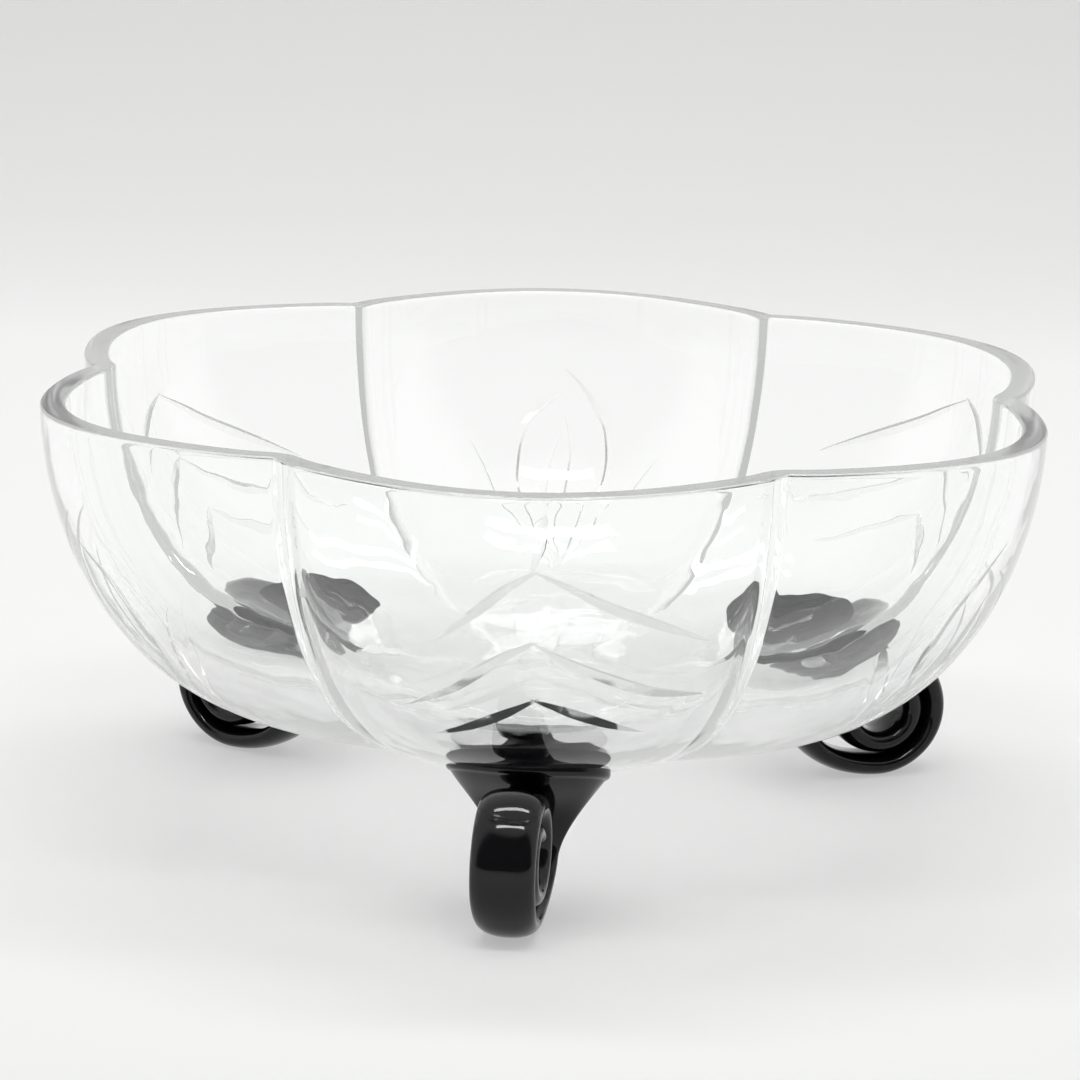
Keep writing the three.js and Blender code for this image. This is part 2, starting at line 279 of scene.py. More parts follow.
def finish_tree(tree, mesh, material, crease, marked_materials=()):
    """Smooth shading broken at sharp edges, then Realize Instances, Set Material and the output; marks with
    their own materials come in pairs."""
    mesh = made(tree, "GeometryNodeSetShadeSmooth", {"Geometry": mesh}, domain="FACE")
    angle = made(tree, "GeometryNodeInputMeshEdgeAngle")
    sharp = made(tree, "FunctionNodeCompare", {0: angle, 1: math.radians(crease)}, operation="GREATER_THAN")
    mesh = made(
        tree, "GeometryNodeSetShadeSmooth", {"Geometry": mesh, "Selection": sharp, "Shade Smooth": False},
        domain="EDGE")
    mesh = made(tree, "GeometryNodeRealizeInstances", {"Geometry": mesh})
    mesh = made(tree, "GeometryNodeSetMaterial", {"Geometry": mesh, "Material": material})
    for label, marked_material in marked_materials:
        mesh = made(
            tree, "GeometryNodeSetMaterial",
            {"Geometry": mesh, "Selection": marked(tree, label), "Material": marked_material})
    add_node(tree, "NodeGroupOutput", {0: mesh})


def linked(name, data):
    """New object of this data, in the scene."""
    obj = bpy.data.objects.new(name, data)
    bpy.context.scene.collection.objects.link(obj)
    return obj


def baked(obj, tree, values):
    """Runs a tree with these values of its named inputs and turns the result into a plain mesh."""
    modifier = obj.modifiers.new(tree.name, "NODES")
    modifier.node_group = tree
    for label, value in values.items():
        set_input(modifier, label, value)
    depsgraph = bpy.context.evaluated_depsgraph_get()
    mesh = bpy.data.meshes.new_from_object(obj.evaluated_get(depsgraph))
    obj.modifiers.clear()
    obj.data = mesh
    used = sorted({face.material_index for face in mesh.polygons})
    kept = [mesh.materials[index] for index in used]
    places = [used.index(face.material_index) for face in mesh.polygons]
    mesh.materials.clear()
    for material in kept:
        mesh.materials.append(material)
    mesh.polygons.foreach_set("material_index", places)
    return obj


def new_object(name, points, edges=(), vectors=None, numbers=None):
    """Object of loose points or edges, with named vectors and numbers on its points."""
    mesh = bpy.data.meshes.new(name)
    mesh.from_pydata(points, edges, [])
    for label, values in (vectors or {}).items():
        layer = mesh.attributes.new(label, "FLOAT_VECTOR", "POINT")
        layer.data.foreach_set("vector", [c for v in values for c in v])
    for label, values in (numbers or {}).items():
        layer = mesh.attributes.new(label, "FLOAT", "POINT")
        layer.data.foreach_set("value", values)
    return linked(name, mesh)


def closed_grid(tree, rows, columns):
    """Grid whose last column falls on its first: the mesh, and the row and column of each point."""
    across = columns + 1.0
    mesh = made(tree, "GeometryNodeMeshGrid", {"Vertices X": rows, "Vertices Y": across})
    index = Term(tree, made(tree, "GeometryNodeInputIndex"))
    row = (index / across + 0.0001).math("FLOOR")
    return mesh, row, (index - row * across).math("FLOORED_MODULO", columns)


def shaped(tree, mesh, place, gap):
    """Brings the grid's points to their places, welds its seam and faces it outwards."""
    mesh = made(tree, "GeometryNodeSetPosition", {"Geometry": mesh, "Position": place})
    mesh = made(tree, "GeometryNodeMergeByDistance", {"Geometry": mesh, "Distance": gap})
    return made(tree, "GeometryNodeFlipFaces", {"Mesh": mesh})


def cut_out(tree, mesh, tool):
    return made(
        tree, "GeometryNodeMeshBoolean", {"Mesh 1": mesh, "Mesh 2": tool}, operation="DIFFERENCE",
        solver="MANIFOLD")


def eased(value):
    value = min(max(value, 0), 1)
    return value * value * (3 - 2 * value)


def blend(first, second, share):
    return first + (second - first) * share


# The lobed surface


def notch_angle(index):
    turns, place = divmod(index, LOBES)
    return math.radians(index * 360 / LOBES + NOTCH_DRIFT[place])


def lobe_point(sizes, lobe, way):
    """Point of a lobe's outline at the rim; way runs from -1 at one notch to 1 at the next."""
    start, end = notch_angle(lobe), notch_angle(lobe + 1)
    angle = start + (end - start) * (way + 1) / 2
    fall = sum(part * way**power for part, power in LOBE_FALL)
    radius = sizes.lobe_reach - sizes.notch_depth * fall
    return Vector((radius * math.cos(angle), radius * math.sin(angle), 0))


def lobe_outward(sizes, lobe, way):
    tangent = lobe_point(sizes, lobe, way + 0.001) - lobe_point(sizes, lobe, way - 0.001)
    return Vector((tangent.y, -tangent.x, 0)).normalized()


def fillet_start(sizes, lobe, side, reach):
    """Way at which a lobe gives over to the arc of its first or second notch."""
    angle = notch_angle(lobe if side < 0 else lobe + 1)
    across = Vector((-math.sin(angle), math.cos(angle), 0))
    near, far = 0.6, 1.0
    for _ in range(HALVINGS):
        way = (near + far) / 2
        centre = lobe_point(sizes, lobe, side * way) + lobe_outward(sizes, lobe, side * way) * reach
        if side * centre.dot(across) < 0:
            near = way
        else:
            far = way
    return near


def fillet_points(first, second, reach, steps):
    """The round bottom of a notch, from the end of one lobe to the start of the next."""
    centre = (first[0] + first[1] * reach + second[0] + second[1] * reach) / 2
    start = math.atan2(first[1].y, first[1].x)
    sweep = -first[1].angle(second[1])
    points = []
    for step in range(1, steps):
        angle = start + sweep * step / steps
        outward = Vector((math.cos(angle), math.sin(angle), 0))
        points.append((centre - outward * reach, outward))
    return points


def bowl_outline(sizes, reach):
    """Points of the rim's outline with their outward directions; reach is the radius in the notches."""
    ends = [
        (-fillet_start(sizes, lobe, -1, reach), fillet_start(sizes, lobe, 1, reach)) for lobe in range(LOBES)]
    outline = []
    for lobe, (first, last) in enumerate(ends):
        for step in range(sizes.lobe_columns + 1):
            even = step / sizes.lobe_columns
            crowded = blend(even, (1 - math.cos(math.pi * even)) / 2, 0.3)
            way = first + (last - first) * crowded
            outline.append((lobe_point(sizes, lobe, way), lobe_outward(sizes, lobe, way)))
        after = (lobe + 1) % LOBES
        start = ends[after][0]
        second = (lobe_point(sizes, after, start), lobe_outward(sizes, after, start))
        outline.extend(fillet_points(outline[-1], second, reach, sizes.notch_columns))
    return outline


def share_at(sizes, height):
    """Share of the rim's radius that the outside has at this height."""
    drop = (sizes.rim_height - height) / sizes.depth
    return (1 - drop**sizes.base_fullness) ** (1 / sizes.side_fullness)


def outside(sizes, lobe, way, height):
    point = lobe_point(sizes, lobe, way) * share_at(sizes, height)
    return Vector((point.x, point.y, height))


def outward_at(sizes, lobe, way, height):
    """Direction out of the glass at a place on the bowl's outside."""
    along = outside(sizes, lobe, way + 0.002, height) - outside(sizes, lobe, way - 0.002, height)
    up = outside(sizes, lobe, way, height + 0.0002) - outside(sizes, lobe, way, height - 0.0002)
    return along.cross(up).normalized()


BOWL_INPUTS = dict.fromkeys(
    ("rim_height", "depth", "wall", "base", "rim_round", "side_fullness", "base_fullness"), "NodeSocketFloat")
BOWL_INPUTS |= dict.fromkeys(("wall_rows", "edge_rows"), "NodeSocketInt")


def bowl_tree(material):
    """Grows the wall, rim and inside of a bowl from its rim's outline outside and then inside."""
    tree = new_tree("Lobed bowl", [(titled(name), kind) for name, kind in BOWL_INPUTS.items()])
    given = tree.nodes.new("NodeGroupInput")
    rim_height, full_depth, wall, base, rim_round, side_fullness, base_fullness, wall_rows, edge_rows = (
        Term(tree, given.outputs[titled(name)]) for name in BOWL_INPUTS)
    outline = given.outputs["Geometry"]
    size = add_node(tree, "GeometryNodeAttributeDomainSize", {"Geometry": outline}, component="MESH")
    columns = Term(tree, size.outputs["Point Count"]) * 0.5
    half = wall_rows + edge_rows
    rows = half * 2.0 + 2.0
    grid, row, column = closed_grid(tree, rows, columns)
    inner = row.math("GREATER_THAN", half + 0.5)
    last = rows - 1.0
    step = row.math("MINIMUM", last - row)
    share = ((step / wall_rows).math("MINIMUM", 1.0) * (math.pi / 2)).math("SINE")
    drop = (share ** side_fullness).from_one().math("MAXIMUM", 0.0) ** (base_fullness ** -1.0)
    depth = full_depth - inner * base
    wall_top = rim_height - rim_round
    wall_height = (rim_height - depth * drop).math("MINIMUM", wall_top)
    turn = ((step - wall_rows) / edge_rows).math("MAXIMUM", 0.0) * (math.pi / 2)
    height = wall_height + rim_round * turn.math("SINE")
    inset = rim_round * turn.math("COSINE").from_one()
    offset = inset * (inner * 2.0 - 1.0) - inner * wall
    place = column + inner * columns
    rim = sampled(tree, outline, "position", "FLOAT_VECTOR", place)
    outward = sampled(tree, outline, "outward", "FLOAT_VECTOR", place)
    plan = scaled(tree, summed(tree, rim, scaled(tree, outward, offset)), share)
    place = summed(tree, plan, combined(tree, z=height))
    finish_tree(tree, shaped(tree, grid, place, 1e-6), material, crease=60.0)
    return tree


def make_bowl_blank(sizes, material):
    outline = bowl_outline(sizes, sizes.notch_fillet) + bowl_outline(sizes, sizes.ridge_radius - sizes.wall)
    bowl = new_object(
        "cut_bowl", [tuple(p) for p, _ in outline], vectors={"outward": [tuple(o) for _, o in outline]})
    return baked(bowl, bowl_tree(material), {titled(name): getattr(sizes, name) for name in BOWL_INPUTS})


# Materials

# Painted reflection: paler streaks in the black seat's colour, standing in for the shine the seat does not have
PAINTED_REFLECTION_STREAK = (0.02, 0.02, 0.022)
# The tent's tone, for light that has met as many faces as the render follows
CAUGHT_LIGHT = (0.57, 0.58, 0.57, 1)
LAST_BOUNCES = {"Glossy Depth": 5, "Ray Depth": 13}


def principled(name, values):
    """Material with these values on its shader's own sockets: the material, its tree and the shader."""
    material = bpy.data.materials.new(name)
    material.use_nodes = True
    shader = material.node_tree.nodes["Principled BSDF"]
    for label, value in values.items():
        shader.inputs[label].default_value = value
    return material, material.node_tree, shader


def object_place(tree):
    return tree.nodes.new("ShaderNodeTexCoord").outputs["Object"]


def ranged(tree, value, start, end, low=0.0, high=1.0, interpolation="LINEAR"):
    """Runs from low to high while the value runs from start to end."""
    return made(
        tree, "ShaderNodeMapRange", {0: value, 1: start, 2: end, 3: low, 4: high},
        interpolation_type=interpolation)


def toned(tree, value, stops):
    """Colour that runs through these stops, each a place and a colour."""
    node = add_node(tree, "ShaderNodeValToRGB", {"Fac": value})
    elements = node.color_ramp.elements
    while len(elements) < len(stops):
        elements.new(0.5)
    for element, (place, tone) in zip(elements, stops):
        element.position = place
        element.color = (*tone, 1)
    return node.outputs["Color"]


def waviness_group():
    """Slow waves and fine orange-peel of a hand-worked glass skin, as a height."""
    group = bpy.data.node_groups.new("Hand-worked skin", "ShaderNodeTree")
    for label, value in (("Wave Scale", 30.0), ("Fine Scale", 220.0), ("Fine Share", 0.05)):
        socket = group.interface.new_socket(label, in_out="INPUT", socket_type="NodeSocketFloat")
        socket.default_value = value
    group.interface.new_socket("Height", in_out="OUTPUT", socket_type="NodeSocketFloat")
    given = group.nodes.new("NodeGroupInput").outputs
    where = object_place(group)
    waves, peel = (
        Term(group, made(group, "ShaderNodeTexNoise", {"Vector": where, "Scale": given[label], "Detail": 1.0}))
        for label in ("Wave Scale", "Fine Scale"))
    height = waves + peel * Term(group, given["Fine Share"])
    add_node(group, "NodeGroupOutput", {0: height})
    return group


def seat_material(looks):
    """The face that is fused to the bowl, seen through it: no surface of its own, so no shine. Paler streaks
    painted into its colour stand in for reflections.
    """
    material, tree, shader = principled("foot_seat", {"Specular IOR Level": 0.0, "Roughness": 1.0})
    # Painted reflection: noise streaks that run from the black glass to a paler tone
    reflection_streaks = made(
        tree, "ShaderNodeTexNoise",
        {"Vector": object_place(tree), "Scale": 140.0, "Detail": 3.0, "Distortion": 1.5})
    stops = (0.4, looks.black_glass), (0.75, PAINTED_REFLECTION_STREAK)
    tree.links.new(toned(tree, reflection_streaks, stops), shader.inputs["Base Color"])
    return material


def add_skin(tree, shader, group, strength, distance, **sizes):
    """Leads the skin's height through a Bump node to the shader's normal."""
    skin = tree.nodes.new("ShaderNodeGroup")
    skin.node_tree = group
    for label, value in sizes.items():
        skin.inputs[titled(label)].default_value = value
    bump = made(
        tree, "ShaderNodeBump", {"Height": skin.outputs["Height"], "Strength": strength, "Distance": distance})
    tree.links.new(bump, shader.inputs["Normal"])


def glass_material(name, color, roughness, group):
    """Clear glass. Light that is still caught inside after its last mirroring comes out in the tent's tone."""
    material, tree, shader = principled(name, {
        "Base Color": (*color, 1), "Roughness": roughness, "IOR": GLASS_IOR, "Transmission Weight": 1.0,
        "Emission Color": CAUGHT_LIGHT})
    path = tree.nodes.new("ShaderNodeLightPath").outputs
    mirrored, met = (
        Term(tree, path[label]).math("GREATER_THAN", most - 0.5) for label, most in LAST_BOUNCES.items())
    tree.links.new(mirrored.math("MAXIMUM", met).socket, shader.inputs["Emission Strength"])
    add_skin(tree, shader, group, 1.0, 0.0005, wave_scale=28.0, fine_scale=120.0, fine_share=0.13)
    return material


def soften_rim(tree, height):
    """Roughens the glass over its rim's last millimetre, which was ground flat and not quite polished."""
    rough = ranged(tree, separated(tree, object_place(tree))[2], height - 0.0012, height - 0.0002, high=0.24)
    tree.links.new(rough, tree.nodes["Principled BSDF"].inputs["Roughness"])


def black_glass_material(looks, group):
    material, tree, shader = principled("foot_glass", {
        "Base Color": (*looks.black_glass, 1), "IOR": GLASS_IOR, "Specular IOR Level": 0.34})
    cloud = made(tree, "ShaderNodeTexNoise", {"Vector": object_place(tree), "Scale": 90.0, "Detail": 3.0})
    rough = ranged(tree, cloud, 0.35, 0.7, 0.05, 0.13)
    tree.links.new(rough, shader.inputs["Roughness"])
    add_skin(tree, shader, group, 0.5, 0.0004, wave_scale=70.0, fine_share=0.05)
    return material


# Strokes of the cutting wheel

# How a stroke swells to its full breadth, and the half breadth that it has at its ends
SWELL_POWER = 0.9
LEAST_REACH = 0.00002
# How far the wheel stands out of the glass, as a share of the half breadth
CLEARANCE = 0.12
SPAN_POINTS = 12


def smooth_path(points, count):
    """Evenly many points on a smooth curve through the given places."""
    vectors = [Vector((way, height, 0)) for way, height in points]
    handles = []
    for i, point in enumerate(vectors):
        before = vectors[max(i - 1, 0)]
        after = vectors[min(i + 1, len(vectors) - 1)]
        handles.append((after - before) / 6)
    path = []
    for i in range(len(vectors) - 1):
        piece = interpolate_bezier(
            vectors[i], vectors[i] + handles[i], vectors[i + 1] - handles[i + 1], vectors[i + 1], SPAN_POINTS)
        path.extend(piece if i == 0 else piece[1:])
    return [path[round(i * (len(path) - 1) / (count - 1))] for i in range(count)]


# Strokes on a lobe, as way from the lobe's middle and height in millimetres
CHEVRON_ARMS = {
    -1: (((-0.015, 83.0), (0.11, 79.4), (0.25, 74.9), (0.40, 71.0), (0.53, 67.9), (0.66, 64.8)),
         ((-0.015, 67.6), (0.11, 63.1), (0.27, 58.5), (0.43, 54.8), (0.58, 52.9), (0.70, 52.0))),
    1: (((0.02, 83.2), (-0.08, 79.6), (-0.15, 76.0), (-0.24, 71.4), (-0.36, 65.6)),
        ((0.02, 67.8), (-0.09, 64.4), (-0.20, 59.9), (-0.32, 54.7), (-0.52, 49.2))),
}
LOW_ARMS = {
    -1: (((-0.015, 54.0), (0.09, 51.6), (0.18, 49.4), (0.32, 46.2), (0.46, 43.6)),),
    1: (((0.02, 54.2), (-0.07, 51.2), (-0.16, 48.4), (-0.28, 45.2), (-0.42, 42.3)),),
}
SPRIG = {1: (((-0.02, 82.0), (0.0, 85.5), (0.012, 89.0), (0.02, 92.5), (0.028, 95.5)),)}
BUD_ARCS = {
    1: (((0.0, 72.6), (0.08, 69.6), (0.16, 65.9), (0.21, 60.7), (0.23, 55.1), (0.23, 50.8), (0.19, 43.0),
         (0.12, 36.5), (0.02, 31.0)),
        ((0.0, 63.6), (0.04, 59.1), (0.07, 55.1), (0.085, 50.5), (0.08, 44.0), (0.05, 37.0), (0.01, 32.0))),
    -1: (((0.01, 79.0), (-0.07, 74.7), (-0.13, 70.7), (-0.20, 65.7), (-0.23, 60.1), (-0.235, 54.6),
          (-0.21, 49.0), (-0.15, 41.0), (-0.08, 35.0), (-0.02, 31.0)),
         ((0.0, 69.2), (-0.035, 63.1), (-0.055, 57.5), (-0.05, 53.1), (-0.03, 46.0), (-0.01, 38.0),
          (0.0, 32.0))),
}
SIDE_LEAVES = {
    1: (((0.45, 62.5), (0.42, 57.0), (0.395, 51.5), (0.37, 46.8), (0.30, 41.0), (0.18, 35.5), (0.04, 31.2)),),
    -1: (((-0.48, 59.0), (-0.43, 52.8), (-0.385, 47.0), (-0.30, 41.0), (-0.18, 35.5), (-0.04, 31.2)),),
}
# For each lobe: the middle of its pattern, its lift in millimetres, and -1 where it is mirrored
FOOT_LOBES = {4: (0.05, 0.0, 1), 0: (0.06, 1.6, 1), 2: (-0.04, -3.2, -1)}
BUD_LOBES = {1: (-0.01, 0.0, 1), 3: (0.02, 0.0, 1), 5: (0.01, 0.0, 1)}
# Each wheel: whose sizes it has, the mark it leaves, its lobes, its strokes by the way it leans, and their
# shares of its breadth
PATTERN = (
    ("arm", "dull", FOOT_LOBES, CHEVRON_ARMS, (1.0, 1.15)),
    ("leaf", "dull", {4: FOOT_LOBES[4]}, SPRIG, (0.4375,)),
    ("low", "dull", FOOT_LOBES, LOW_ARMS, (1.0,)),
    ("bud", "clear", BUD_LOBES, BUD_ARCS, (1.0, 0.85)),
    ("leaf", "clear", BUD_LOBES, SIDE_LEAVES, (1.0,)),
)


def cutting_passes(cuts):
    """Wheels, as mark, depth and lean, each with its strokes. Strokes that meet are in different passes."""
    for kind, label, lobes, strokes, shares in PATTERN:
        depth, lean, breadth = (getattr(cuts, kind + size) for size in ("_depth", "_lean", "_breadth"))
        for side in strokes:
            plan = []
            for lobe, (middle, lift, mirror) in lobes.items():
                for arc, share in zip(strokes[side * mirror], shares):
                    places = [(middle + mirror * way, height + lift) for way, height in arc]
                    plan.append((lobe, places, breadth * share))
            yield label, depth, side * lean, plan


def stroke_lines(sizes, cuts, plan):
    """Centre lines on the outside, with the outward direction and the half breadth at each point."""
    points, edges, outward, reach = [], [], [], []
    for lobe, places, breadth in plan:
        path = smooth_path(places, cuts.stations)
        for i, place in enumerate(path):
            swell = math.sin(math.pi * i / (len(path) - 1)) ** SWELL_POWER
            points.append(tuple(outside(sizes, lobe, place.x, place.y / 1000)))
            outward.append(tuple(outward_at(sizes, lobe, place.x, place.y / 1000)))
            reach.append(max(breadth / 2 * swell, LEAST_REACH))
            if i:
                edges.append((len(points) - 2, len(points) - 1))
    return new_object("strokes", points, edges, {"outward": outward}, {"reach": reach})


def wheel_section(depth, lean):
    """Section of a cutting wheel for a half breadth of one metre: a wedge that points into the glass."""
    curve = bpy.data.curves.new("wheel", "CURVE")
    curve.dimensions = "3D"
    spline = curve.splines.new("POLY")
    past = CLEARANCE / depth
    corners = (-depth, lean), (CLEARANCE, -1 - past * (1 + lean)), (CLEARANCE, 1 + past * (1 - lean))
    spline.points.add(len(corners) - 1)
    for point, (rise, side) in zip(spline.points, corners):
        point.co = (rise, side, 0, 1)
    spline.use_cyclic_u = True
    return linked("wheel", curve)


def cutting_tree(bowl, wheel, label, skin_glass, cut_glasses):
    """Sweeps the wheel's section along the strokes and cuts it out of the bowl, marking the cut faces."""
    tree = new_tree("Mitre cutting", [])
    given = tree.nodes.new("NodeGroupInput")
    line = made(tree, "GeometryNodeMeshToCurve", {0: given.outputs["Geometry"]})
    facing = made(
        tree, "GeometryNodeSetCurveNormal", {"Curve": line, "Normal": named(tree, "outward", "FLOAT_VECTOR")},
        mode="FREE")
    section = add_node(tree, "GeometryNodeObjectInfo", {"Object": wheel})
    swept = made(
        tree, "GeometryNodeCurveToMesh",
        {"Curve": facing, "Profile Curve": section.outputs["Geometry"], "Scale": named(tree, "reach"),
         "Fill Caps": True})
    blank = add_node(tree, "GeometryNodeObjectInfo", {"Object": bowl})
    cut = cut_out(tree, blank.outputs["Geometry"], mark(tree, swept, label))
    finish_tree(tree, cut, skin_glass, 8.0, cut_glasses.items())
    return tree


def cut_strokes(bowl, sizes, cuts, cut_glasses):
    """Cuts all strokes; the glasses go by the marks that the passes leave."""
    skin_glass = bowl.data.materials[0]
    for label, depth, lean, plan in cutting_passes(cuts):
        lines = stroke_lines(sizes, cuts, plan)
        wheel = wheel_section(depth, lean)
        baked(lines, cutting_tree(bowl, wheel, label, skin_glass, cut_glasses), {})
        bowl.data = lines.data
        bpy.data.objects.remove(lines)
        bpy.data.objects.remove(wheel)
    for label in ("outward", "reach", *cut_glasses):
        attribute = bowl.data.attributes.get(label)
        if attribute:
            bowl.data.attributes.remove(attribute)
    return bowl


# Feet, in their own plane: x runs outward from the bowl's axis and y runs up

# Stations round one turn of the scroll, and along its rounded end, the trail, the neck and the pad's edge
TURN_STATIONS, END_STATIONS, TRAIL_STATIONS, NECK_STATIONS, EDGE_STATIONS = 72, 8, 28, 28, 6
END_LENGTH = 0.0018
# The strap narrows to its eye after this turn
NARROWING_TURN = 0.6


def scroll_point(feet, turn):
    """Middle of the strap, where turn is 0 under the scroll's centre and grows outward and up."""
    radius = feet.coil_radius * (1 - feet.coil_draw_in * turn)
    angle = 2 * math.pi * turn
    centre = Vector((
        feet.pad_radius + feet.coil_offset, feet.coil_radius + feet.strap_crown - feet.stand_flat))
    return centre + Vector((math.sin(angle), -math.cos(angle))) * radius


# A stop on the strap's way: follow is 1 where the section is bent to the bowl's underside
Station = namedtuple("Station", "place along half_width crown back crown_squareness back_squareness follow")


def scroll_stations(feet):
    """From the strap's end at the eye round to where the foot stands."""
    count = round(feet.coil_turns * TURN_STATIONS)
    crown, squareness = feet.strap_crown, (feet.crown_squareness, feet.back_squareness)
    stations = []
    for i in range(count + 1):
        turn = feet.coil_turns * (1 - i / count)
        along = scroll_point(feet, turn - 0.001) - scroll_point(feet, turn + 0.001)
        width = blend(feet.strap_half_width, feet.eye_half_width, eased(
            (turn - NARROWING_TURN) / (feet.coil_turns - NARROWING_TURN)))
        width = blend(feet.stand_half_width, width, eased(turn / 0.2))
        back = blend(feet.strap_back, feet.coil_back, eased(turn / 0.25))
        stations.append(Station(scroll_point(feet, turn), along, width, crown, back, *squareness, 0))
    first = stations[0]
    ends = []
    for i in range(END_STATIONS):
        angle = math.pi / 2 * i / END_STATIONS
        share = math.sin(angle)
        place = first.place - first.along.normalized() * END_LENGTH * math.cos(angle)
        ends.append(Station(
            place, first.along, first.half_width * share, crown * share, back * share, *squareness, 0))
    return ends + stations


def pad_frame(sizes, feet):
    """Middle of the seat on the lobe, and the directions along the lobe and up out of the pad."""
    def under(radius):
        return sizes.rim_height - sizes.depth * (
            1 - (radius / sizes.lobe_reach) ** sizes.side_fullness) ** (1 / sizes.base_fullness)
    rise = under(feet.pad_radius + 0.0005) - under(feet.pad_radius - 0.0005)
    along = Vector((0.001, rise)).normalized()
    return Vector((feet.pad_radius, under(feet.pad_radius))), along, Vector((-along.y, along.x))


def opening_station(feet, full_height, place, along, crown, back):
    """From its flare height up the strap grows wider, to the pad's width."""
    flare = min(max((place.y - feet.flare_height) / (full_height - feet.flare_height), 0), 1)
    width = blend(feet.stand_half_width, feet.strap_half_width, eased(place.y / feet.flare_height))
    width = blend(width, feet.pad_half_width - feet.pad_inset, flare**1.5)
    squareness = blend(feet.crown_squareness, 2, flare), blend(feet.back_squareness, 2, flare)
    return Station(place, along, width, crown, back, *squareness, flare)


def trail_stations(feet, full_height):
    """A quarter of an ellipse from under the scroll's centre, in and up to the neck."""
    start = scroll_point(feet, 0)
    width = start.x - feet.pad_radius + feet.neck_offset
    height = feet.neck_height - start.y
    stations = []
    for i in range(1, TRAIL_STATIONS + 1):
        angle = math.pi / 2 * i / TRAIL_STATIONS
        place = Vector((start.x - width * math.sin(angle), feet.neck_height - height * math.cos(angle)))
        along = Vector((-width * math.cos(angle), height * math.sin(angle)))
        stations.append(opening_station(feet, full_height, place, along, feet.strap_crown, feet.strap_back))
    return stations


def neck_rail(feet, seat, along, up, side, start_radius):
    """One of the two curves that the neck opens along, to the pad's edge."""
    start = Vector((start_radius, feet.neck_height))
    end = seat - up * feet.pad_edge + along * side * (feet.pad_half_length - feet.pad_inset)
    arrival = along * side
    arrival.rotate(Matrix.Rotation(side * feet.pad_slope, 2))
    pull = (end - start).length * 0.4
    corners = (start, start + Vector((0, pull)), end - arrival * pull, end)
    return interpolate_bezier(*(Vector((c.x, c.y, 0)) for c in corners), NECK_STATIONS + 1)


def neck_stations(feet, seat, along, up, full_height):
    neck = feet.pad_radius - feet.neck_offset
    inner = neck_rail(feet, seat, along, up, -1, neck - feet.strap_crown)
    outer = neck_rail(feet, seat, along, up, 1, neck + feet.strap_back)
    share = feet.strap_crown / (feet.strap_crown + feet.strap_back)
    stations = []
    for i in range(1, NECK_STATIONS + 1):
        across = (outer[i] - inner[i]).to_2d()
        crown = across.length * blend(share, 0.5, i / NECK_STATIONS)
        place = inner[i].to_2d() + across.normalized() * crown
        running = Vector((-across.y, across.x))
        stations.append(opening_station(feet, full_height, place, running, crown, across.length - crown))
    return stations


def pad_stations(feet, seat, up):
    """The pad's rounded edge, then its top, which the bowl's underside is cut out of."""
    stations = []
    angles = [math.pi / 2 * i / EDGE_STATIONS for i in range(1, EDGE_STATIONS + 1)]
    steps = [(0.3 + 0.7 * math.cos(angle), 1 - math.sin(angle)) for angle in angles]
    for below, inset in steps + [(-0.6, 0), (-2, 0)]:
        place = seat - up * feet.pad_edge * below
        length = feet.pad_half_length - feet.pad_inset * inset
        width = feet.pad_half_width - feet.pad_inset * inset
        stations.append(Station(place, up, width, length, length, 2, 2, 1))
    return stations + [Station(place, up, 0, 0, 0, 2, 2, 1)]


